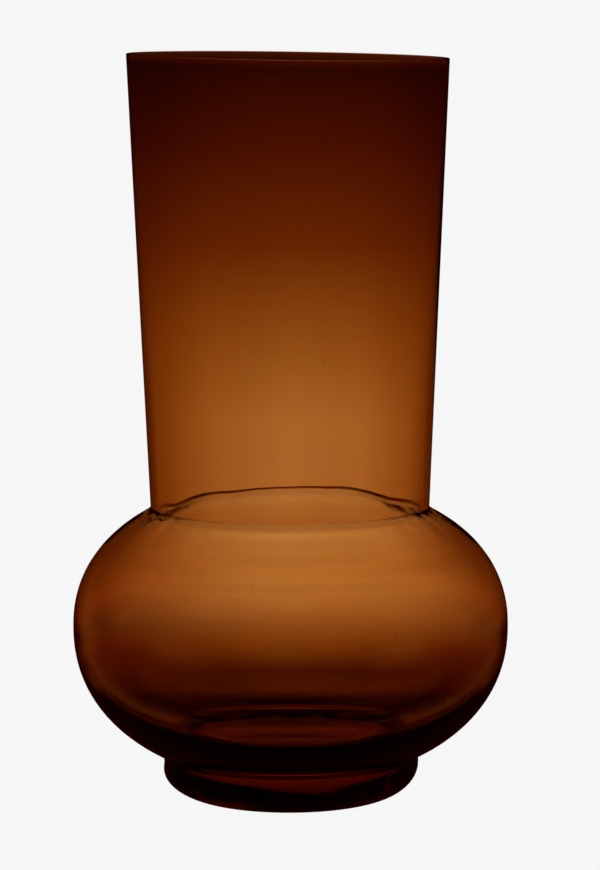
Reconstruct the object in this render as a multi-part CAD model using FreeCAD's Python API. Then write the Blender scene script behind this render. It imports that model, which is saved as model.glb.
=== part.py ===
import FreeCAD, Part
import math
import os

# A gourd vase of blown glass, in millimetres, +Z up. The origin is the centre of the underside,
# on the surface that the vase stands on. Every piece is turned about the Z axis, apart from the
# rim, which is cut off a little out of level. The bulb is a bubble whose wall thickens towards its
# bottom, the foot is a heavy pad of glass that the hollow dips into, and the neck is the drawn end
# of the bubble. They meet on flat rings, face to face.

# The outside.
rim_height = 300.0            # middle of the sloping rim above the surface that it stands on
rim_radius = 64.6             # neck at that height
rim_slope = 1.1               # degrees that the rim falls towards +X
crease_radius = 56.3          # lower end of the neck, where it meets the bulb
crease_fillet = 2.0           # reach of the soft hollow corner between the bulb and the neck
belly_radius = 87.9           # widest part of the bulb
belly_height = 70.7           # height of the widest part
belly_rise = 58.9             # half height of the bulb's outline above its widest part
belly_drop = 62.7             # half height of the bulb's outline below its widest part
belly_fullness = 2.18         # 2 gives an ellipse, and more gives a squarer outline
foot_radius = 51.6            # straight side of the foot
foot_fillet = 1.2             # reach of the soft hollow corner between the bulb and the foot
foot_round_width = 19.8       # reach inwards of the foot's rounded bottom edge
foot_round_height = 14.0      # reach upwards of the same edge

# The glass and the hollow inside.
rim_wall = 2.4                # at the rim
neck_wall = 2.8               # at the lower end of the neck
belly_wall = 2.8              # the bulb, from its widest part up
base_wall = 7.4               # the bulb, where it comes down to the foot
wall_growth = 2.8             # 1 thickens it evenly on the way down, and more keeps it thin for longer
throat_radius = 40.2          # the hollow where it goes from the bulb into the foot
throat_slope = 62.0           # degrees from level of the hollow's side there
floor_height = 9.0            # glass under the hollow's level floor
floor_radius = 26.5           # reach of the level floor
floor_crown = 0.4             # rise of the floor's middle
rim_round = 0.7               # fire-polished edges of the rim
recess_radius = 26.5          # shallow hollow under the foot
recess_depth = 1.2            # how far its middle stands clear

# How closely the curves follow their formulas.
curve_points = 12

# How far a cutting body reaches past what it cuts.
overrun = 5.0

level = FreeCAD.Vector(1, 0, 0)
upright = FreeCAD.Vector(0, 0, 1)


def at(radius, height):
    """A point of an outline that is turned about the Z axis."""
    return FreeCAD.Vector(radius, 0, height)


def line(start, end):
    """A straight edge."""
    return Part.LineSegment(start, end).toShape()


def bend(start, corner, end):
    """A soft turn that leaves both ends along their lines to the corner."""
    turn = Part.BezierCurve()
    turn.setPoles([start, corner, end])
    return turn.toShape()


def curve(points):
    """A smooth edge through the points."""
    spline = Part.BSplineCurve()
    spline.interpolate(Points=points)
    return spline.toShape()


def steps(first, last):
    """Evenly spaced values from first to last."""
    return [first + (last - first) * step / curve_points for step in range(curve_points + 1)]


def turned(*edges):
    """The solid that a closed outline sweeps out about the Z axis."""
    face = Part.Face(Part.Wire(edges))
    return face.revolve(at(0, 0), upright, 360)


def along(normal):
    """The direction of a surface that has this normal."""
    return at(-normal.z, normal.x)


def crossing(first, first_way, second, second_way):
    """Where the line from one point meets the line from another."""
    gap = second - first
    reach = (gap.x * second_way.z - gap.z * second_way.x) / (first_way.x * second_way.z - first_way.z * second_way.x)
    return first + first_way * reach


def belly_reach(turn):
    """Half height of the bulb's outline on the side of its widest part where the turn is."""
    return belly_rise if turn > 0 else belly_drop


def belly_point(turn):
    """Outside of the bulb, where turn runs from a quarter below the widest part to one above."""
    power = 2 / belly_fullness
    rise = belly_reach(turn) * abs(math.sin(turn)) ** power
    return at(belly_radius * math.cos(turn) ** power, belly_height + math.copysign(rise, turn))


def belly_normal(turn):
    """Direction that stands square on the bulb's outside there, pointing outwards."""
    power = 2 - 2 / belly_fullness
    rise = abs(math.sin(turn)) ** power / belly_reach(turn)
    return at(math.cos(turn) ** power / belly_radius, math.copysign(rise, turn)).normalize()


def belly_turn(radius):
    """The turn above the widest part at which the bulb's outside has this radius."""
    return math.acos((radius / belly_radius) ** (belly_fullness / 2))


def wall_at(turn):
    """Glass of the bulb, which grows from its widest part down to the foot."""
    share = max(belly_height - belly_point(turn).z, 0) / (belly_height - belly_point(foot_turn).z)
    return belly_wall + (base_wall - belly_wall) * share ** wall_growth


def belly_inside(turn):
    """Inside of the bulb that faces its outside there."""
    return belly_point(turn) - belly_normal(turn) * wall_at(turn)


# Places that follow from the sizes.
foot_turn = -belly_turn(foot_radius)
foot_corner_turn = -belly_turn(foot_radius + foot_fillet)
shoulder_turn = belly_turn(crease_radius + crease_fillet)
foot_seam = belly_point(foot_turn).z - foot_fillet
neck_seam = belly_point(belly_turn(crease_radius)).z + crease_fillet
neck_bore = crease_radius - neck_wall
rim_bore = rim_radius - rim_wall
rest_radius = foot_radius - foot_round_width
throat = at(throat_radius, foot_seam)
throat_way = at(math.cos(math.radians(throat_slope)), math.sin(math.radians(throat_slope)))


def make_foot():
    """The thick foot: rounded outside, with the end of the bubble in its top, barely hollow below."""
    under = curve([at(recess_radius * share, recess_depth * (1 - share ** 2)) for share in steps(0, 1)])
    rest = line(at(recess_radius, 0), at(rest_radius, 0))
    edge = curve([at(rest_radius + foot_round_width * math.sin(turn), foot_round_height * (1 - math.cos(turn)))
                  for turn in steps(0, math.pi / 2)])
    side = line(at(foot_radius, foot_round_height), at(foot_radius, foot_seam))
    seam = line(at(foot_radius, foot_seam), throat)
    bowl = bend(throat, crossing(throat, throat_way, at(0, floor_height), level), at(floor_radius, floor_height))
    floor = curve([at(floor_radius * (1 - share), floor_height + floor_crown * (1 - (1 - share) ** 2))
                   for share in steps(0, 1)])
    axis = line(at(0, floor_height + floor_crown), at(0, recess_depth))
    return turned(under, rest, edge, side, seam, bowl, floor, axis)


def make_bulb():
    """The squat bulb, from its ring on the foot up to the crease under the neck."""
    foot_end = at(foot_radius, foot_seam)
    low = belly_point(foot_corner_turn)
    low_corner = crossing(low, along(belly_normal(foot_corner_turn)), foot_end, upright)
    low_fillet = bend(foot_end, low_corner, low)
    outside = curve([belly_point(turn) for turn in steps(foot_corner_turn, shoulder_turn)])
    shoulder, shoulder_way = belly_point(shoulder_turn), along(belly_normal(shoulder_turn))
    crease_end = at(crease_radius, neck_seam)
    crease = bend(shoulder, crossing(shoulder, shoulder_way, crease_end, upright), crease_end)
    mouth_end = at(neck_bore, neck_seam)
    top = line(crease_end, mouth_end)
    ledge = belly_inside(shoulder_turn)
    mouth = bend(mouth_end, crossing(ledge, shoulder_way, mouth_end, upright), ledge)
    inside = curve([belly_inside(turn) for turn in steps(shoulder_turn, foot_turn)])
    lip = belly_inside(foot_turn)
    funnel = bend(lip, crossing(lip, along(belly_normal(foot_turn)), throat, throat_way), throat)
    bottom = line(throat, foot_end)
    return turned(low_fillet, outside, crease, top, mouth, inside, funnel, bottom)


def make_neck():
    """The tapering neck, with its rim cut off out of level and fire-polished."""
    taper = (rim_radius - crease_radius) / (rim_height - neck_seam)
    bore_taper = (rim_bore - neck_bore) / (rim_height - neck_seam)
    top = rim_height + overrun
    tube = turned(line(at(neck_bore, neck_seam), at(crease_radius, neck_seam)),
                  line(at(crease_radius, neck_seam), at(rim_radius + taper * overrun, top)),
                  line(at(rim_radius + taper * overrun, top), at(rim_bore + bore_taper * overrun, top)),
                  line(at(rim_bore + bore_taper * overrun, top), at(neck_bore, neck_seam)))
    reach = rim_radius + overrun
    above = Part.makeBox(2 * reach, 2 * reach, reach, FreeCAD.Vector(-reach, -reach, 0))
    above.rotate(at(0, 0), FreeCAD.Vector(0, 1, 0), rim_slope)
    above.translate(at(0, rim_height))
    tube = tube.cut(above)
    rim_edges = [edge for edge in tube.Edges
                 if edge.BoundBox.ZMin > neck_seam + overrun and edge.BoundBox.XLength > rim_radius]
    return tube.makeFillet(rim_round, rim_edges)


def main():
    """Writes one file for each piece of the vase."""
    os.makedirs("parts", exist_ok=True)
    pieces = {"foot": make_foot(), "bulb": make_bulb(), "neck": make_neck()}
    for name, shape in pieces.items():
        solid = shape.Solids[0]
        solid.exportStep(f"parts/{name}.step")
        box = solid.BoundBox
        print(name, "valid", solid.isValid(), "solids", len(shape.Solids), "cm3", round(solid.Volume / 1000, 1),
              "z", round(box.ZMin, 2), round(box.ZMax, 2), "x", round(box.XMin, 2), round(box.XMax, 2))


main()
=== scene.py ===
"""The looks of a blown amber gourd vase: its glass, the studio round it and the camera.

Lengths are in metres, in the frame's own axes: +Z up, with the origin under the middle of the foot
and the camera on the -Y side. Angles are in radians unless a name says degrees.
"""

import logging
import math
from dataclasses import dataclass, field
from enum import Enum

import bmesh
import bpy
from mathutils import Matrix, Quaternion, Vector


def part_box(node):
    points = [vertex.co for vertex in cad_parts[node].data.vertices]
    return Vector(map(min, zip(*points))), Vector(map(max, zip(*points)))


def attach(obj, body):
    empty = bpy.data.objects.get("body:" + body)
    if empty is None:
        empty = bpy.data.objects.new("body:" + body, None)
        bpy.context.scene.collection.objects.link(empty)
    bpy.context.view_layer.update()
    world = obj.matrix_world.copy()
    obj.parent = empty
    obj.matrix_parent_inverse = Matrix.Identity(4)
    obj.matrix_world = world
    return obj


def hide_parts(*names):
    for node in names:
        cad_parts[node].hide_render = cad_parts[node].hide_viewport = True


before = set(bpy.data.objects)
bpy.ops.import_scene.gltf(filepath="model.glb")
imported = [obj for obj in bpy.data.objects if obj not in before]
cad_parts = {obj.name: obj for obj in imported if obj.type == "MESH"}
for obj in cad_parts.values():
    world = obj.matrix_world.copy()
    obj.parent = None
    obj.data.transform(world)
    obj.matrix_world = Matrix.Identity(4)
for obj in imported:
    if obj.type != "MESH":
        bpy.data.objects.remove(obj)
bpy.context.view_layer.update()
LOG = logging.getLogger("vase")

Colour = tuple[float, float, float]
Place = tuple[float, float, float]
Point = tuple[float, float]   # radius and height
Feed = bpy.types.NodeSocket | float | tuple[float, ...]

SPIN_STEPS = 192              # facets round the axis
MERGE = 1e-7                  # points closer than this are one
SEAM_GAP = 2e-5               # air between two gathers, so that their faces never share a place
SHARP_DEGREES = 32.0          # edges that turn by more than this keep a crisp corner
SEED_SEGMENTS = 12            # facets round a bubble of air
SEED_RINGS = 8                # and from one of its ends to the other


class Side(Enum):
    """Which surface of the glass a stretch of an outline lies on."""

    OUTSIDE = 0.0
    INSIDE = 1.0


@dataclass
class Outline:
    """Half of a section through turned glass, as a chain of points from the outside to the inside."""

    points: list[tuple[float, float, float]] = field(default_factory=list)

    def add(self, points: list[Point], side: Side) -> None:
        """Adds a stretch.

        Args:
            points: radius and height of each point.
            side: the surface that the stretch lies on.
        """
        for radius, height in points:
            if self.points and math.dist(self.points[-1][:2], (radius, height)) < MERGE:
                continue
            self.points.append((radius, height, side.value))


def shares(count: int) -> list[float]:
    """Even steps from 0 to 1."""
    return [step / count for step in range(count + 1)]


def ease(share: float) -> float:
    """A gentle climb from 0 to 1, level before and after."""
    share = min(max(share, 0), 1)
    return share * share * (3 - 2 * share)


def blend(start: Point, corner: Point, end: Point, count: int = 10) -> list[Point]:
    """A soft turn that leaves both ends along their lines to the corner.

    Args:
        start: where it leaves.
        corner: where the two lines meet.
        end: where it arrives.
        count: how many steps it takes.

    Returns:
        Its points, both ends included.
    """
    turn = []
    for share in shares(count):
        rest = 1 - share
        turn.append((rest * rest * start[0] + 2 * rest * share * corner[0] + share * share * end[0],
                     rest * rest * start[1] + 2 * rest * share * corner[1] + share * share * end[1]))
    return turn


def crossing(first: Point, first_way: Point, second: Point, second_way: Point) -> Point:
    """Where the line from one point meets the line from another.

    Args:
        first: a point of the first line.
        first_way: its direction.
        second: a point of the second line.
        second_way: its direction.

    Returns:
        The shared point.
    """
    across, up = second[0] - first[0], second[1] - first[1]
    spread = first_way[0] * second_way[1] - first_way[1] * second_way[0]
    reach = (across * second_way[1] - up * second_way[0]) / spread
    return first[0] + first_way[0] * reach, first[1] + first_way[1] * reach


@dataclass(frozen=True)
class Wave:
    """One gentle unevenness that the making left in the glass."""

    reach: float              # how far it goes in and out
    crests: int               # crests round the vase
    start: float              # where round the vase its phase begins
    twist: float              # phase for each metre of height

    def at(self, angle: float, height: float) -> float:
        """How far it goes at this place."""
        return self.reach * math.sin(self.crests * angle + self.start + self.twist * height)


@dataclass(frozen=True)
class Ridge:
    """A faint upright line drawn out along the glass."""

    reach: float
    angle: float              # where round the vase it lies
    spread: float             # half its width, as an angle

    def at(self, angle: float) -> float:
        """How far it stands out at this place."""
        off = math.remainder(angle - self.angle, math.tau) / self.spread
        return self.reach * math.exp(-off * off)


@dataclass(frozen=True)
class Band:
    """A faint level ring left by a tool that was held against the turning glass."""

    reach: float
    height: float
    spread: float             # half its width

    def at(self, height: float) -> float:
        """How far it stands out at this height."""
        off = (height - self.height) / self.spread
        return self.reach * math.exp(-off * off)


@dataclass(frozen=True)
class HandWork:
    """How far the blown glass strays from a true turned shape."""

    outside: tuple[Wave, ...] = (
        Wave(0.00004, 2, 0.4, 6.0), Wave(0.00002, 3, 2.1, -14.0), Wave(0.00002, 5, 1.2, 21.0))
    inside: tuple[Wave, ...] = (
        Wave(0.00012, 2, 1.9, 9.0), Wave(0.00008, 3, 0.3, 17.0), Wave(0.00005, 7, 4.0, -25.0))
    bands: tuple[Band, ...] = (
        Band(-0.00005, 0.1085, 0.0022), Band(0.00005, 0.1040, 0.0020), Band(-0.00004, 0.0995, 0.0018),
        Band(0.00003, 0.0955, 0.0018))
    ridges: tuple[Ridge, ...] = (Ridge(-0.00004, -0.86, 0.020), Ridge(-0.00003, -0.81, 0.016))
    crease_sags: tuple[Ridge, ...] = (
        Ridge(-0.0021, 2.62, 0.24), Ridge(-0.0006, 2.00, 0.12), Ridge(0.0008, 1.15, 0.24),
        Ridge(-0.0013, 0.66, 0.26), Ridge(0.0006, -2.45, 0.30), Ridge(0.0007, -0.66, 0.30),
        Ridge(0.00105, 1.57, 0.95), Ridge(-0.0005, 0.0, 0.30))
    crease_waver: tuple[Wave, ...] = (
        Wave(0.00008, 13, 1.0, 0.0), Wave(0.00005, 23, 0.3, 0.0), Wave(0.00003, 41, 2.0, 0.0))
    crease_spread: float = 0.009

    def room(self) -> float:
        """The furthest that the outside could come out, which the turned shape leaves free."""
        return sum(wave.reach for wave in self.outside)

    def moved(self, place: Vector, inside: bool, crease_height: float) -> Vector:
        """Where the hand work takes a point of the turned shape.

        Args:
            place: the point on the true shape.
            inside: whether it lies on the hollow's surface.
            crease_height: height of the crease under the neck.

        Returns:
            The point on the finished glass.
        """
        radius = math.hypot(place.x, place.y)
        if radius < MERGE:
            return place
        angle = math.atan2(place.y, place.x)
        waves = self.inside if inside else self.outside
        stray = sum(wave.at(angle, place.z) for wave in waves)
        if not inside:
            stray += sum(band.at(place.z) for band in self.bands)
            if place.z > crease_height:
                stray += sum(ridge.at(angle) for ridge in self.ridges)
            stray -= self.room()
        fade = min(radius / crease_height, 1)    # so that the stray dies away towards the axis
        lift = sum(sag.at(angle) for sag in self.crease_sags)
        lift += sum(wave.at(angle, 0) for wave in self.crease_waver)
        lift *= math.exp(-((place.z - crease_height) / self.crease_spread) ** 2)
        grown = 1 + stray * fade / radius
        return Vector((place.x * grown, place.y * grown, place.z + lift))


@dataclass(frozen=True)
class VaseShape:
    """The turned shape of the whole vase, shared by its three pieces."""

    foot_seam: float
    neck_seam: float
    rim_top: float            # highest point of the sloping rim
    foot_radius: float
    belly_radius: float
    rim_radius: float
    rim_slope: float = math.radians(1.1)
    crease_radius: float = 0.0563
    crease_fall: float = 0.00145      # how far below the seam's height the crease settled
    crease_reach: float = 0.0037      # how far out the bulb's top begins to sweep up to it
    crease_slope: float = math.radians(55.0)
    crease_cone: float = 0.0004       # how much lower the seam is on the inside
    level_reach: float = 0.004        # how far out from the crease the wall is measured level
    level_fade: float = 0.018         # and how far further out it is measured square
    belly_height: float = 0.0707
    belly_rise: float = 0.0589
    belly_drop: float = 0.0627
    belly_fullness: float = 2.18
    foot_fillet: float = 0.0012
    foot_round_width: float = 0.0198
    foot_round_height: float = 0.0140
    rim_wall: float = 0.0024
    rim_round: float = 0.0002
    neck_wall: float = 0.0028
    belly_wall: float = 0.0028
    base_wall: float = 0.0074
    wall_growth: float = 2.8
    throat_radius: float = 0.0402
    throat_slope: float = math.radians(62.0)
    floor_height: float = 0.0090
    floor_radius: float = 0.0265
    floor_crown: float = 0.0004
    recess_radius: float = 0.0265
    recess_depth: float = 0.0012
    shoulder_steps: int = 80
    crease_steps: int = 14

    @classmethod
    def of_frame(cls) -> "VaseShape":
        """Takes the sizes that the frame gives.

        Returns:
            The shape.
        """
        foot_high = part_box("foot")[1]
        bulb_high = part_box("bulb")[1]
        neck_low, neck_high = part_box("neck")
        return cls(foot_seam=foot_high.z, neck_seam=neck_low.z, rim_top=neck_high.z,
                   foot_radius=foot_high.x, belly_radius=bulb_high.x, rim_radius=-neck_low.x)

    @property
    def rim_height(self) -> float:
        """Height of the rim on the axis."""
        return self.rim_top - self.rim_radius * math.tan(self.rim_slope)

    def neck_share(self, height: float) -> float:
        """How far up the neck a height is, from 0 at its seam to 1 at its rim."""
        return (height - self.neck_seam) / (self.rim_height - self.neck_seam)

    def neck_outside(self, height: float) -> float:
        """Outside radius of the neck at a height."""
        return self.crease_radius + (self.rim_radius - self.crease_radius) * self.neck_share(height)

    @property
    def crease(self) -> Point:
        """Outer edge of the seam, where the neck stands on the bulb."""
        height = self.neck_seam - self.crease_fall
        return self.neck_outside(height), height

    @property
    def mouth(self) -> Point:
        """Inner edge of the same seam."""
        return self.crease[0] - self.neck_wall, self.crease[1] - self.crease_cone

    def neck_inside(self, height: float) -> float:
        """Inside radius of the neck at a height."""
        wall = self.neck_wall + (self.rim_wall - self.neck_wall) * self.neck_share(height)
        return self.neck_outside(height) - wall

    def belly_turn(self, radius: float) -> float:
        """The turn above the widest part at which the bulb's outside has this radius."""
        return math.acos((radius / self.belly_radius) ** (self.belly_fullness / 2))

    def belly_reach(self, above: bool) -> float:
        """Half height of the bulb's outline on one side of its widest part."""
        return self.belly_rise if above else self.belly_drop

    def belly_point(self, turn: float) -> Point:
        """Finds a point on the outside of the bulb.

        Args:
            turn: from a quarter below the widest part to a quarter above.

        Returns:
            The point.
        """
        power = 2 / self.belly_fullness
        rise = self.belly_reach(turn > 0) * abs(math.sin(turn)) ** power
        return self.belly_radius * math.cos(turn) ** power, self.belly_height + math.copysign(rise, turn)

    def belly_way(self, turn: float) -> Point:
        """Finds the direction of the bulb's outside, on the way up.

        Args:
            turn: from a quarter below the widest part to a quarter above.

        Returns:
            The direction, one long.
        """
        power = 2 - 2 / self.belly_fullness
        across = -math.copysign(abs(math.sin(turn)) ** power / self.belly_reach(turn > 0), turn)
        up = math.cos(turn) ** power / self.belly_radius
        size = math.hypot(across, up)
        return across / size, up / size

    def belly_inside(self, turn: float) -> Point:
        """Finds the point on the inside of the bulb that faces one on its outside.

        Args:
            turn: of the point outside.

        Returns:
            The point inside.
        """
        radius, height = self.belly_point(turn)
        lowest = self.belly_point(-self.belly_turn(self.foot_radius))[1]
        share = max(self.belly_height - height, 0) / (self.belly_height - lowest)
        wall = self.belly_wall + (self.base_wall - self.belly_wall) * share ** self.wall_growth
        across, up = self.belly_way(turn)
        return radius - up * wall, height + across * wall

    def shoulder(self) -> list[Point]:
        """Follows the outside of the bulb from its widest part up to the crease.

        Returns:
            Its points, from below.
        """
        turn = self.belly_turn(self.crease_radius + self.crease_reach)
        rise = [self.belly_point(turn * share) for share in shares(self.shoulder_steps)]
        end = (self.crease[0], self.crease[1] - SEAM_GAP)
        steep = (-math.cos(self.crease_slope), math.sin(self.crease_slope))
        corner = crossing(rise[-1], self.belly_way(turn), end, steep)
        return rise + blend(rise[-1], corner, end, self.crease_steps)[1:]

    def shoulder_inside(self) -> list[Point]:
        """Follows the inside of the same stretch: square to it low down, and level with it at the crease.

        Returns:
            Its points, from below.
        """
        outside = self.shoulder()
        inside = []
        for before, point, after in zip(outside[:1] + outside, outside, outside[1:] + outside[-1:]):
            across, up = after[0] - before[0], after[1] - before[1]
            size = math.hypot(across, up)
            square = ease((point[0] - self.crease_radius - self.level_reach) / self.level_fade)
            radius = point[0] - self.belly_wall * (1 - square + square * up / size)
            height = point[1] + self.belly_wall * square * across / size
            inside.append((radius, height - self.crease_cone * (1 - square)))
        return inside

    @property
    def throat(self) -> Point:
        """Where the hollow goes from the bulb into the foot."""
        return self.throat_radius, self.foot_seam

    @property
    def throat_way(self) -> Point:
        """Direction of the hollow's side there, on the way up."""
        return math.cos(self.throat_slope), math.sin(self.throat_slope)


@dataclass(frozen=True)
class Seed:
    """A tiny bubble of air caught in the glass."""

    angle: float              # degrees round the vase, with the camera at -90
    height: float
    size: float
    depth_share: float = 0.5  # how far into the wall it lies


def added(tree: bpy.types.NodeTree, kind: str, feeds: dict[str | int, Feed] | None = None,
          **settings: object) -> bpy.types.Node:
    """Adds a shader node, sets it up and feeds its inputs.

    Args:
        tree: the nodes that it joins.
        kind: the kind of node.
        feeds: what goes into its inputs, by name or number: another node's output or a fixed value.
        settings: the node's own settings.

    Returns:
        The node.
    """
    node = tree.nodes.new(kind)
    for name, value in settings.items():
        setattr(node, name, value)
    for name, feed in (feeds or {}).items():
        if isinstance(feed, bpy.types.NodeSocket):
            tree.links.new(feed, node.inputs[name])
        else:
            node.inputs[name].default_value = feed
    return node


@dataclass(frozen=True)
class GlassFinish:
    """Clear amber glass of one gather: what it takes from the light and how its skin strays."""

    name: str
    pale: Colour              # tint of the skin where the glass is palest
    deep: Colour              # tint where reheating has struck the colour deepest
    pale_height: float
    deep_height: float
    # The default is the paler amber that only the foot takes: real amber, paled so that more light shows
    # through the thick foot, which is painted light.
    absorbs: Colour = (60.0, 150.0, 290.0)  # light lost for each metre of glass
    index: float = 1.5
    ripple_size: float = 0.045
    ripple_depth: float = 0.00002
    scuff_height: float = -1.0
    scuff_roughness: float = 0.22

    def material(self) -> bpy.types.Material:
        """Builds the glass.

        Returns:
            A material whose colour sits in the body of the glass, with a tinted, faintly rippled skin.
        """
        made = bpy.data.materials.new(self.name)
        made.use_nodes = True
        tree = made.node_tree
        most = max(self.absorbs)
        kept = (*[1 - part / most for part in self.absorbs], 1)
        body = added(tree, "ShaderNodeVolumeAbsorption", {"Density": most, "Color": kept})
        heights = {"Pale Height": self.pale_height, "Deep Height": self.deep_height}
        tints = {"Pale": (*self.pale, 1), "Deep": (*self.deep, 1)}
        tint = added(tree, "ShaderNodeGroup", heights | tints, node_tree=struck_tint())
        ripple = added(tree, "ShaderNodeGroup", {"Size": self.ripple_size}, node_tree=hand_ripple())
        rise = {"Distance": self.ripple_depth, "Height": ripple.outputs["Height"]}
        bump = added(tree, "ShaderNodeBump", rise)
        worn = {"Height": self.scuff_height, "Roughness": self.scuff_roughness}
        scuff = added(tree, "ShaderNodeGroup", worn, node_tree=rest_scuff())
        skin = tree.nodes["Principled BSDF"]
        skin.inputs["Transmission Weight"].default_value = 1.0
        skin.inputs["IOR"].default_value = self.index
        tree.links.new(tint.outputs["Color"], skin.inputs["Base Color"])
        tree.links.new(bump.outputs["Normal"], skin.inputs["Normal"])
        tree.links.new(scuff.outputs["Roughness"], skin.inputs["Roughness"])
        tree.links.new(body.outputs["Volume"], tree.nodes["Material Output"].inputs["Volume"])
        return made


def started_group(name: str, numbers: tuple[str, ...], colours: tuple[str, ...], output: str,
                  output_type: str) -> bpy.types.NodeTree:
    """Starts a shader node group with named sockets.

    Args:
        name: the group's name.
        numbers: names of its number inputs.
        colours: names of its colour inputs.
        output: name of its output.
        output_type: socket type of the output.

    Returns:
        The new group.
    """
    group = bpy.data.node_groups.new(name, "ShaderNodeTree")
    for number in numbers:
        group.interface.new_socket(number, in_out="INPUT", socket_type="NodeSocketFloat")
    for colour in colours:
        group.interface.new_socket(colour, in_out="INPUT", socket_type="NodeSocketColor")
    group.interface.new_socket(output, in_out="OUTPUT", socket_type=output_type)
    return group


def struck_tint() -> bpy.types.NodeTree:
    """A tint that deepens with height, as reheated amber does, with faint drawn-out streaks.

    Returns:
        The node group, built once.
    """
    name = "struck_tint"
    if name in bpy.data.node_groups:
        return bpy.data.node_groups[name]
    group = started_group(name, ("Pale Height", "Deep Height"), ("Pale", "Deep"), "Color", "NodeSocketColor")
    given = added(group, "NodeGroupInput").outputs
    place = added(group, "ShaderNodeTexCoord").outputs["Object"]
    height = added(group, "ShaderNodeSeparateXYZ", {"Vector": place}).outputs["Z"]
    span = {"Value": height, "From Min": given["Pale Height"], "From Max": given["Deep Height"]}
    climb = added(group, "ShaderNodeMapRange", span, interpolation_type="SMOOTHSTEP").outputs["Result"]
    drawn_out = added(group, "ShaderNodeMapping", {"Vector": place, "Scale": (1, 1, 0.15)}).outputs["Vector"]
    streaks = added(group, "ShaderNodeTexNoise", {"Vector": drawn_out, "Scale": 42, "Detail": 3})
    faint = {"Value": streaks.outputs["Fac"], "To Min": -0.04, "To Max": 0.04}
    stray = added(group, "ShaderNodeMapRange", faint).outputs["Result"]
    share = added(group, "ShaderNodeMath", {0: climb, 1: stray}, operation="ADD", use_clamp=True).outputs[0]
    tints = {"Factor": share, "A": given["Pale"], "B": given["Deep"]}
    mix = added(group, "ShaderNodeMix", tints, data_type="RGBA")
    added(group, "NodeGroupOutput", {"Color": mix.outputs["Result"]})
    return group


def hand_ripple() -> bpy.types.NodeTree:
    """The slow ripple of a blown skin.

    Returns:
        The node group, built once.
    """
    name = "hand_ripple"
    if name in bpy.data.node_groups:
        return bpy.data.node_groups[name]
    group = started_group(name, ("Size",), (), "Height", "NodeSocketFloat")
    size = added(group, "NodeGroupInput").outputs["Size"]
    place = added(group, "ShaderNodeTexCoord").outputs["Object"]
    level = added(group, "ShaderNodeMapping", {"Vector": place, "Scale": (0.6, 0.6, 1.6)}).outputs["Vector"]
    scale = added(group, "ShaderNodeMath", {0: 1, 1: size}, operation="DIVIDE").outputs[0]
    noise = added(group, "ShaderNodeTexNoise", {"Vector": level, "Scale": scale, "Detail": 1})
    added(group, "NodeGroupOutput", {"Height": noise.outputs["Fac"]})
    return group


def rest_scuff() -> bpy.types.NodeTree:
    """Fine scuffs where the glass rubs on what it stands on, and a bright polish everywhere else.

    Returns:
        The node group, built once.
    """
    name = "rest_scuff"
    if name in bpy.data.node_groups:
        return bpy.data.node_groups[name]
    group = started_group(name, ("Height", "Roughness"), (), "Roughness", "NodeSocketFloat")
    given = added(group, "NodeGroupInput").outputs
    place = added(group, "ShaderNodeTexCoord").outputs["Object"]
    height = added(group, "ShaderNodeSeparateXYZ", {"Vector": place}).outputs["Z"]
    low = added(group, "ShaderNodeMath", {0: height, 1: given["Height"]}, operation="LESS_THAN").outputs[0]
    scratches = added(group, "ShaderNodeTexNoise", {"Vector": place, "Scale": 900, "Detail": 4})
    worn = added(group, "ShaderNodeMath", {0: low, 1: scratches.outputs["Fac"]}, operation="MULTIPLY")
    rough = added(group, "ShaderNodeMath", {0: worn.outputs[0], 1: given["Roughness"]}, operation="MULTIPLY")
    added(group, "NodeGroupOutput", {"Roughness": rough.outputs[0]})
    return group


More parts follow.
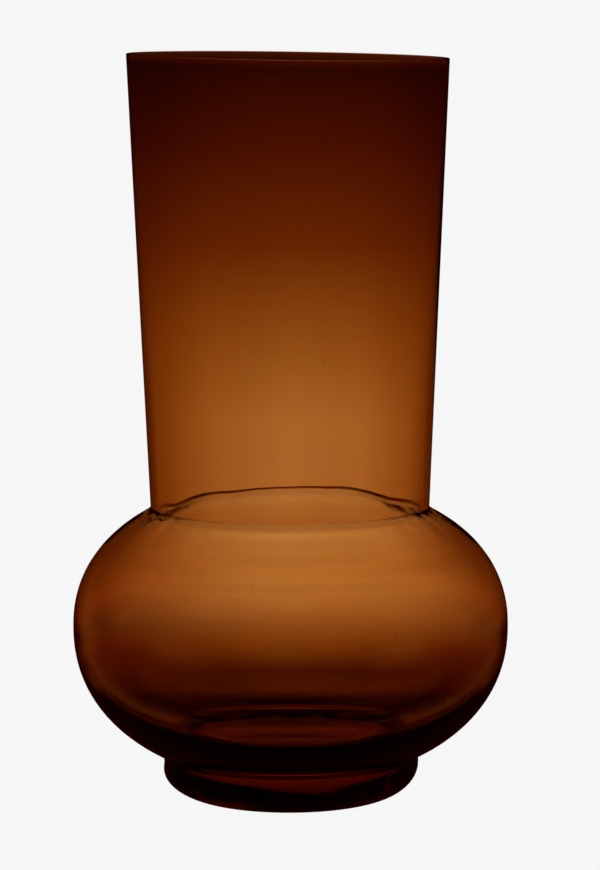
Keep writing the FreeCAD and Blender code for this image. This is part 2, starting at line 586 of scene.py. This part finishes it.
@dataclass
class GlassPiece:
    """One gather of glass: turned from its outline, then given the hand's unevenness."""

    shape: VaseShape
    hand: HandWork
    finish: GlassFinish
    name: str = "piece"
    node: str = "node"
    slot: str = "slot"
    seeds: tuple[Seed, ...] = ()

    def outline(self) -> Outline:
        """The piece's own section."""
        raise NotImplementedError

    def settle(self, place: Vector, inside: bool) -> Vector:
        """Moves a point for what this piece alone has.

        Args:
            place: the point on the finished glass.
            inside: whether it lies on the hollow's surface.

        Returns:
            Its place in this piece.
        """
        return place

    def surfaces_at(self, height: float) -> Point:
        """Inside and outside radius of the glass at a height."""
        raise NotImplementedError

    def turned(self) -> bmesh.types.BMesh:
        """Spins the outline round the axis and gives the glass its unevenness.

        Returns:
            The mesh, smooth but for its crisp corners.
        """
        mesh = bmesh.new()
        side = mesh.verts.layers.float.new("side")
        chain = []
        for radius, height, layer in self.outline().points:
            vert = mesh.verts.new((radius, 0, height))
            vert[side] = layer
            chain.append(vert)
        edges = [mesh.edges.new(pair) for pair in zip(chain, chain[1:])]
        if chain[0].co.x > MERGE:
            edges.append(mesh.edges.new((chain[-1], chain[0])))
        bmesh.ops.spin(mesh, geom=chain + edges, cent=(0, 0, 0), axis=(0, 0, 1), dvec=(0, 0, 0),
                       angle=math.tau, steps=SPIN_STEPS, use_merge=True, use_duplicate=False)
        bmesh.ops.remove_doubles(mesh, verts=mesh.verts, dist=MERGE)
        bmesh.ops.recalc_face_normals(mesh, faces=mesh.faces)
        for vert in mesh.verts:
            inside = vert[side] == Side.INSIDE.value
            vert.co = self.settle(self.hand.moved(vert.co, inside, self.shape.crease[1]), inside)
        mesh.normal_update()
        for edge in mesh.edges:
            edge.smooth = math.degrees(edge.calc_face_angle(0)) < SHARP_DEGREES
        return mesh

    def build(self) -> bpy.types.Object:
        """Makes the piece and dresses it.

        Returns:
            The finished object, at the origin, with its place in its mesh.
        """
        mesh, bubbles = self.turned(), self.blow_seeds()
        data = bpy.data.meshes.new(self.name)
        bubbles.to_mesh(data)
        bubbles.free()
        mesh.from_mesh(data)
        for face in mesh.faces:
            face.smooth = True
        mesh.to_mesh(data)
        mesh.free()
        piece = bpy.data.objects.new(self.name, data)
        bpy.context.scene.collection.objects.link(piece)
        data.materials.append(self.finish.material())
        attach(piece, "root")
        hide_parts(self.node)
        LOG.info("%s: %d faces, finish %s", self.name, len(data.polygons), self.finish.name)
        return piece

    def blow_seeds(self) -> bmesh.types.BMesh:
        """Makes the bubbles of air in the wall, whose skins face inwards.

        Returns:
            Their mesh.
        """
        bubbles = bmesh.new()
        for seed in self.seeds:
            inner, outer = self.surfaces_at(seed.height)
            radius = outer - (outer - inner) * seed.depth_share
            angle = math.radians(seed.angle)
            centre = Vector((radius * math.cos(angle), radius * math.sin(angle), seed.height))
            made = bmesh.ops.create_uvsphere(bubbles, u_segments=SEED_SEGMENTS, v_segments=SEED_RINGS,
                                             radius=seed.size / 2)
            bmesh.ops.translate(bubbles, verts=made["verts"], vec=centre)
        bmesh.ops.reverse_faces(bubbles, faces=bubbles.faces)
        return bubbles


@dataclass
class Neck(GlassPiece):
    """The tapering neck, fire-polished at its rim, which is cut off out of level."""

    name: str = "neck_glass_tube"
    node: str = "neck"
    slot: str = "neck_glass"
    slope_start_share: float = 0.35   # how far up the neck the slope of the rim begins to tell
    wall_steps: int = 90
    wall_closeness: float = 1.5       # 1 spaces them evenly, and more draws them together at the crease
    polish_steps: int = 8
    seeds: tuple[Seed, ...] = (
        Seed(-77.0, 0.1830, 0.0007), Seed(-118.0, 0.2210, 0.0005), Seed(-48.0, 0.1520, 0.0005),
        Seed(64.0, 0.2010, 0.0006), Seed(150.0, 0.1640, 0.0005), Seed(20.0, 0.2480, 0.0005),
        Seed(-97.0, 0.1450, 0.0004))

    def surfaces_at(self, height: float) -> Point:
        """Inside and outside radius of the neck at a height."""
        return self.shape.neck_inside(height), self.shape.neck_outside(height)

    def outline(self) -> Outline:
        """Goes up the outside, over the polished rim and down the bore.

        Returns:
            The section.
        """
        shape = self.shape
        high = shape.rim_height - shape.rim_round
        low, mouth = shape.crease[1] + SEAM_GAP, shape.mouth[1] + SEAM_GAP
        climb = [share ** self.wall_closeness for share in shares(self.wall_steps)]
        rise = [low + (high - low) * share for share in climb]
        fall = [mouth + (high - mouth) * share for share in reversed(climb)]
        outer, inner = shape.neck_outside(high), shape.neck_inside(high)
        turns = [math.pi / 2 * share for share in shares(self.polish_steps)]
        polish = [(shape.rim_round * (1 - math.cos(turn)), high + shape.rim_round * math.sin(turn))
                  for turn in turns]
        outline = Outline()
        outline.add([(shape.neck_outside(height), height) for height in rise], Side.OUTSIDE)
        outline.add([(outer - reach, height) for reach, height in polish], Side.OUTSIDE)
        outline.add([(inner + reach, height) for reach, height in reversed(polish)], Side.INSIDE)
        outline.add([(shape.neck_inside(height), height) for height in fall], Side.INSIDE)
        return outline

    def settle(self, place: Vector, inside: bool) -> Vector:
        """Lets the upper neck follow the sloping rim.

        Args:
            place: the point on the finished glass.
            inside: whether it lies on the hollow's surface.

        Returns:
            Its place in the neck.
        """
        share = (self.shape.neck_share(place.z) - self.slope_start_share) / (1 - self.slope_start_share)
        fall = math.tan(self.shape.rim_slope) * place.x * ease(share)
        return Vector((place.x, place.y, place.z - fall))


@dataclass
class Bulb(GlassPiece):
    """The squat bulb, from its ring on the foot up to the crease under the neck."""

    name: str = "bulb_glass_bubble"
    node: str = "bulb"
    slot: str = "bulb_glass"
    outside_steps: int = 50           # below its widest part
    inside_steps: int = 60
    funnel_steps: int = 16
    seeds: tuple[Seed, ...] = (
        Seed(-101.0, 0.0980, 0.0006), Seed(-72.0, 0.0830, 0.0005), Seed(-62.0, 0.0790, 0.0006),
        Seed(-128.0, 0.0720, 0.0008), Seed(-85.0, 0.0640, 0.0004), Seed(-110.0, 0.0890, 0.0004),
        Seed(35.0, 0.0880, 0.0006), Seed(118.0, 0.0690, 0.0006), Seed(170.0, 0.0930, 0.0005))

    def surfaces_at(self, height: float) -> Point:
        """Finds both surfaces of the bulb near its widest part.

        Args:
            height: where.

        Returns:
            Its inside and outside radius.
        """
        shape = self.shape
        share = abs(height - shape.belly_height) / shape.belly_reach(height > shape.belly_height)
        outer = shape.belly_radius * (1 - share ** shape.belly_fullness) ** (1 / shape.belly_fullness)
        return outer - shape.belly_wall, outer

    def outline(self) -> Outline:
        """Goes from the foot's edge up the outside, in at the crease and down the hollow to the throat.

        Returns:
            The section.
        """
        shape = self.shape
        bottom = shape.foot_seam + SEAM_GAP
        upright = (0.0, 1.0)
        low_turn = -shape.belly_turn(shape.foot_radius + shape.foot_fillet)
        foot_end, low = (shape.foot_radius, bottom), shape.belly_point(low_turn)
        corner = crossing(low, shape.belly_way(low_turn), foot_end, upright)
        climb = [low_turn * (1 - share) for share in shares(self.outside_steps)]
        base_turn = -shape.belly_turn(shape.foot_radius)
        fall = [base_turn * share for share in shares(self.inside_steps)]
        lip, throat = shape.belly_inside(base_turn), (shape.throat[0], bottom)
        funnel = crossing(lip, shape.belly_way(base_turn), shape.throat, shape.throat_way)
        outline = Outline()
        outline.add(blend(foot_end, corner, low), Side.OUTSIDE)
        outline.add([shape.belly_point(turn) for turn in climb], Side.OUTSIDE)
        outline.add(shape.shoulder(), Side.OUTSIDE)
        outline.add(shape.shoulder_inside()[::-1], Side.INSIDE)
        outline.add([shape.belly_inside(turn) for turn in fall], Side.INSIDE)
        outline.add(blend(lip, funnel, throat, self.funnel_steps), Side.INSIDE)
        return outline


@dataclass
class Foot(GlassPiece):
    """The heavy foot, with the end of the hollow in its top and a shallow recess underneath."""

    name: str = "foot_glass_pad"
    node: str = "foot"
    slot: str = "foot_glass"
    fuller: float = 0.0004            # how much the rounded edge stands out all round
    fuller_left: float = 0.0005       # how much more it does on the -X side, and less on the other
    edge_steps: int = 40
    bowl_steps: int = 24
    level_steps: int = 16

    def settle(self, place: Vector, inside: bool) -> Vector:
        """Lets the rounded edge come out fuller on one side.

        Args:
            place: the point on the finished glass.
            inside: whether it lies on the hollow's surface.

        Returns:
            Its place in the foot.
        """
        radius = math.hypot(place.x, place.y)
        share = place.z / self.shape.foot_round_height
        if inside or share >= 1 or radius < self.shape.recess_radius:
            return place
        stray = (self.fuller - self.fuller_left * place.x / radius) * math.sin(math.pi * share)
        grown = 1 + stray / radius
        return Vector((place.x * grown, place.y * grown, place.z))

    def outline(self) -> Outline:
        """Goes from the middle underneath round the rest and the edge, and down the hollow to its floor.

        Returns:
            The section.
        """
        shape = self.shape
        top = shape.foot_seam - SEAM_GAP
        rest = shape.foot_radius - shape.foot_round_width
        out = shares(self.level_steps)
        under = [(shape.recess_radius * share, shape.recess_depth * (1 - share ** 2)) for share in out]
        turns = [math.pi / 2 * share for share in shares(self.edge_steps)]
        wide, high = shape.foot_round_width, shape.foot_round_height
        edge = [(rest + wide * math.sin(turn), high * (1 - math.cos(turn))) for turn in turns]
        floor_end, level = (shape.floor_radius, shape.floor_height), (1.0, 0.0)
        corner = crossing(shape.throat, shape.throat_way, floor_end, level)
        floor = [(shape.floor_radius * (1 - share),
                  shape.floor_height + shape.floor_crown * share * (2 - share)) for share in out]
        outline = Outline()
        outline.add(under + edge + [(shape.foot_radius, top)], Side.OUTSIDE)
        outline.add(blend((shape.throat[0], top), corner, floor_end, self.bowl_steps) + floor, Side.INSIDE)
        return outline


@dataclass(frozen=True)
class Stop:
    """A colour of the studio's light at one place."""

    place: float
    colour: Colour


class Grading(Enum):
    """What the places of a light's colours are measured along."""

    HEIGHT = "height"
    DISTANCE = "distance from the vase's axis"


@dataclass
class Studio:
    """A pale sweep, and round the vase a light tent that only light on its way through glass reaches."""

    pale: float = 0.922               # the sweep as the camera sees it
    dim: Colour = (0.019, 0.001, 0.001)  # what little light the room gives
    tent_radius: float = 0.45
    tent_height: float = 0.8
    lamp_count: int = 6
    lamp_start: float = math.radians(2.5)
    lamp_tightness: float = 1.7       # how quickly the light falls off beside a lamp
    floor_size: float = 6.0
    floor_drop: float = 0.0003
    glow_drop: float = 0.0001
    wall: tuple[Stop, ...] = (
        Stop(0.0, (0.85, 0.70, 0.60)), Stop(0.03, (1.35, 1.40, 1.40)), Stop(0.06, (1.06, 0.98, 1.0)),
        Stop(0.10, (1.03, 0.98, 0.90)), Stop(0.14, (0.71, 0.55, 0.33)), Stop(0.19, (0.34, 0.16, 0.035)),
        Stop(0.24, (0.18, 0.055, 0.015)), Stop(0.29, (0.03, 0.004, 0.003)), Stop(0.35, (0.28, 0.03, 0.003)),
        Stop(0.5, (0.03, 0.005, 0.003)), Stop(0.8, (0.03, 0.005, 0.003)))
    between: tuple[Stop, ...] = (
        Stop(0.0, (0.10, 0.01, 0.008)), Stop(0.03, (0.60, 0.22, 0.035)), Stop(0.06, (0.56, 0.37, 0.04)),
        Stop(0.10, (0.53, 0.33, 0.04)), Stop(0.14, (0.52, 0.34, 0.06)), Stop(0.19, (0.315, 0.155, 0.04)),
        Stop(0.24, (0.125, 0.04, 0.03)), Stop(0.29, (0.01, 0.01, 0.01)), Stop(0.35, (0.47, 0.20, 0.08)),
        Stop(0.5, (0.70, 0.30, 0.11)), Stop(0.8, (0.55, 0.32, 0.12)))
    # The floor glow is a floor that only glass sees, with its light and shade painted in: dim under the foot,
    # dark in a ring round it, and brighter and warmer further out.
    glow: tuple[Stop, ...] = (
        Stop(0.0, (0.12, 0.06, 0.04)), Stop(0.05, (0.28, 0.14, 0.09)), Stop(0.08, (0.02, 0.004, 0.02)),
        Stop(0.12, (0.02, 0.004, 0.02)), Stop(0.15, (0.32, 0.20, 0.04)), Stop(0.22, (0.18, 0.07, 0.05)),
        Stop(0.33, (0.52, 0.34, 0.12)), Stop(0.45, (0.85, 0.70, 0.60)))
    glow_between: tuple[Stop, ...] = (
        Stop(0.0, (0.12, 0.06, 0.04)), Stop(0.05, (0.28, 0.14, 0.09)), Stop(0.08, (0.02, 0.01, 0.02)),
        Stop(0.12, (0.03, 0.01, 0.02)), Stop(0.15, (0.13, 0.04, 0.02)), Stop(0.22, (0.18, 0.07, 0.01)),
        Stop(0.33, (0.21, 0.03, 0.007)), Stop(0.45, (0.07, 0.01, 0.005)))

    def ramp(self, tree: bpy.types.NodeTree, stops: tuple[Stop, ...],
             place: bpy.types.NodeSocket) -> bpy.types.NodeSocket:
        """Looks up the light's colour at a place.

        Args:
            tree: the material's nodes.
            stops: the colours, from the lowest place up.
            place: where the light comes from.

        Returns:
            The colour there.
        """
        low, high = stops[0].place, stops[-1].place
        share = added(tree, "ShaderNodeMapRange", {"Value": place, "From Min": low, "From Max": high})
        colours = added(tree, "ShaderNodeValToRGB", {"Fac": share.outputs["Result"]})
        marks = colours.color_ramp.elements
        marks[0].color = (*stops[0].colour, 1)
        marks[1].color = (*stops[-1].colour, 1)
        for stop in stops[1:-1]:
            marks.new((stop.place - low) / (high - low)).color = (*stop.colour, 1)
        return colours.outputs["Color"]

    def lamp_share(self, tree: bpy.types.NodeTree, across: bpy.types.NodeSocket,
                   along: bpy.types.NodeSocket) -> bpy.types.NodeSocket:
        """How near a place on the tent is to one of its lamps, which stand evenly round it.

        Args:
            tree: the material's nodes.
            across: the place's X.
            along: the place's Y.

        Returns:
            A share: 1 in front of a lamp and 0 half way between two.
        """
        angle = added(tree, "ShaderNodeMath", {0: across, 1: along}, operation="ARCTAN2").outputs[0]
        turning = {0: angle, 1: self.lamp_count, 2: -self.lamp_count * self.lamp_start}
        turns = added(tree, "ShaderNodeMath", turning, operation="MULTIPLY_ADD")
        swing = added(tree, "ShaderNodeMath", {0: turns.outputs[0]}, operation="COSINE").outputs[0]
        share = added(tree, "ShaderNodeMapRange", {"Value": swing, "From Min": -1}).outputs["Result"]
        return added(tree, "ShaderNodeMath", {0: share, 1: self.lamp_tightness}, operation="POWER").outputs[0]

    def light(self, name: str) -> tuple[bpy.types.Material, bpy.types.NodeTree, bpy.types.NodeSocket]:
        """Starts a light of its own colour at every place.

        Args:
            name: the material's name.

        Returns:
            The material, its nodes and the socket that its colour goes into.
        """
        made = bpy.data.materials.new(name)
        made.use_nodes = True
        tree = made.node_tree
        tree.nodes.clear()
        shine = added(tree, "ShaderNodeEmission")
        added(tree, "ShaderNodeOutputMaterial", {"Surface": shine.outputs["Emission"]})
        return made, tree, shine.inputs["Color"]

    def graded(self, name: str, between: tuple[Stop, ...], lamp: tuple[Stop, ...],
               grading: Grading) -> bpy.types.Material:
        """Makes a light that changes from place to place, and from lamp to lamp round the vase.

        Args:
            name: the material's name.
            between: its colours half way between two lamps.
            lamp: its colours in front of a lamp.
            grading: what the places of those colours are measured along.

        Returns:
            A material that only shines.
        """
        made, tree, colour = self.light(name)
        spot = added(tree, "ShaderNodeTexCoord").outputs["Object"]
        axes = added(tree, "ShaderNodeSeparateXYZ", {"Vector": spot}).outputs
        away = added(tree, "ShaderNodeVectorMath", {0: spot}, operation="LENGTH").outputs["Value"]
        place = axes["Z"] if grading is Grading.HEIGHT else away
        share = self.lamp_share(tree, axes["X"], axes["Y"])
        ends = {"Factor": share, "A": self.ramp(tree, between, place), "B": self.ramp(tree, lamp, place)}
        mix = added(tree, "ShaderNodeMix", ends, data_type="RGBA")
        tree.links.new(mix.outputs["Result"], colour)
        return made

    @property
    def pale_colour(self) -> tuple[float, float, float, float]:
        """The sweep's colour."""
        return self.pale, self.pale, self.pale, 1

    def sweep_light(self) -> bpy.types.Material:
        """The even pale sweep that the camera sees."""
        made, _, colour = self.light("pale_floor")
        colour.default_value = self.pale_colour
        return made

    def placed(self, name: str, mesh: bmesh.types.BMesh, material: bpy.types.Material,
               seen_by_camera: bool) -> bpy.types.Object:
        """Puts a part of the studio in the scene.

        Args:
            name: the object's name.
            mesh: its shape, which this frees.
            material: its light.
            seen_by_camera: whether the camera sees it, or else only light on its way through glass.

        Returns:
            The object.
        """
        data = bpy.data.meshes.new(name)
        mesh.to_mesh(data)
        mesh.free()
        data.materials.append(material)
        part = bpy.data.objects.new(name, data)
        bpy.context.scene.collection.objects.link(part)
        part.visible_camera = seen_by_camera
        part.visible_transmission = not seen_by_camera
        part.visible_diffuse = part.visible_glossy = part.visible_shadow = False
        return part

    def build(self) -> None:
        """Makes the sweep, the light tent and the light of the room."""
        sweep = bmesh.new()
        bmesh.ops.create_grid(sweep, x_segments=1, y_segments=1, size=self.floor_size / 2)
        bmesh.ops.translate(sweep, verts=sweep.verts, vec=(0, 0, -self.floor_drop))
        self.placed("floor", sweep, self.sweep_light(), True)
        wall = bmesh.new()
        made = bmesh.ops.create_circle(wall, segments=SPIN_STEPS, radius=self.tent_radius)
        rise = bmesh.ops.extrude_edge_only(wall, edges=wall.edges)
        raised = [part for part in rise["geom"] if isinstance(part, bmesh.types.BMVert)]
        bmesh.ops.translate(wall, verts=raised, vec=(0, 0, self.tent_height))
        bmesh.ops.translate(wall, verts=made["verts"], vec=(0, 0, -self.glow_drop))
        wall_light = self.graded("tent_light", self.between, self.wall, Grading.HEIGHT)
        self.placed("light_tent", wall, wall_light, False)
        # A glowing floor disc with painted light and painted shade, seen only through the glass.
        glow = bmesh.new()
        bmesh.ops.create_circle(glow, cap_ends=True, segments=SPIN_STEPS, radius=self.tent_radius)
        bmesh.ops.translate(glow, verts=glow.verts, vec=(0, 0, -self.glow_drop))
        glow_light = self.graded("floor_light", self.glow_between, self.glow, Grading.DISTANCE)
        self.placed("floor_glow", glow, glow_light, False)
        self.room()
        LOG.info("studio: pale sweep, light tent %.2f m across", 2 * self.tent_radius)

    def room(self) -> None:
        """Sets the room behind the sweep: pale to the camera and dim to everything else."""
        world = bpy.data.worlds.new("studio_room")
        bpy.context.scene.world = world
        world.use_nodes = True
        tree = world.node_tree
        ray = added(tree, "ShaderNodeLightPath").outputs["Is Camera Ray"]
        ends = {"Factor": ray, "A": (*self.dim, 1), "B": self.pale_colour}
        mix = added(tree, "ShaderNodeMix", ends, data_type="RGBA")
        tree.links.new(mix.outputs["Result"], tree.nodes["Background"].inputs["Color"])


@dataclass
class PhotoCamera:
    """A camera that looks at the vase from where the photograph was taken."""

    place: Place = (0, -1.7238, 0.3462)
    aim: Place = (0.00416, 0, 0.14767)
    roll_degrees: float = -0.255
    focal_pixels: float = 4307.459
    image_height_pixels: float = 870
    sensor: float = 36                # millimetres
    nearest: float = 0.01

    def build(self) -> None:
        """Makes the camera and gives it to the scene."""
        data = bpy.data.cameras.new("photo_camera")
        data.sensor_width = self.sensor
        data.lens = self.focal_pixels / self.image_height_pixels * self.sensor
        data.clip_start = self.nearest
        camera = bpy.data.objects.new("photo_camera", data)
        bpy.context.scene.collection.objects.link(camera)
        camera.location = self.place
        camera.rotation_mode = "QUATERNION"
        roll = Quaternion((0, 0, 1), math.radians(self.roll_degrees))
        camera.rotation_quaternion = (Vector(self.aim) - Vector(self.place)).to_track_quat("-Z", "Y") @ roll
        bpy.context.scene.camera = camera
        LOG.info("camera: %.1f mm lens, %.2f m from the vase", data.lens, -self.place[1])


def set_light_paths(through: int = 32, off: int = 16) -> None:
    """Lets light take as many turns as thick glass asks for.

    Args:
        through: how many times it may pass a surface.
        off: how many times it may be thrown back.
    """
    scene = bpy.context.scene
    scene.view_settings.view_transform = "Standard"
    scene.cycles.max_bounces = through
    scene.cycles.transmission_bounces = through
    scene.cycles.glossy_bounces = off
    scene.cycles.use_denoising = True


def main() -> None:
    """Builds the vase's pieces in order, then the studio and the camera."""
    logging.basicConfig(level=logging.INFO, format="%(message)s")
    hand = HandWork()
    shape = VaseShape.of_frame()
    clear = (1.0, 1.0, 1.0)
    struck = (0.90, 0.72, 0.50)
    strong = (160.0, 360.0, 680.0)
    # The foot keeps the amber of the rest but paler, so that more light shows through its thick glass:
    # painted light.
    foot_amber_paled_for_light = GlassFinish("foot_amber_paled_for_light", clear, clear, 0.0, 0.02, scuff_height=0.0004)
    bulb_amber = GlassFinish("bulb_amber", clear, clear, 0.05, 0.12, absorbs=strong)
    neck_amber = GlassFinish("neck_amber", clear, struck, 0.14, 0.30, absorbs=strong)
    Foot(shape, hand, foot_amber_paled_for_light).build()
    Bulb(shape, hand, bulb_amber).build()
    Neck(shape, hand, neck_amber).build()
    Studio().build()
    PhotoCamera().build()
    set_light_paths()


if __name__ == "__main__":
    main()
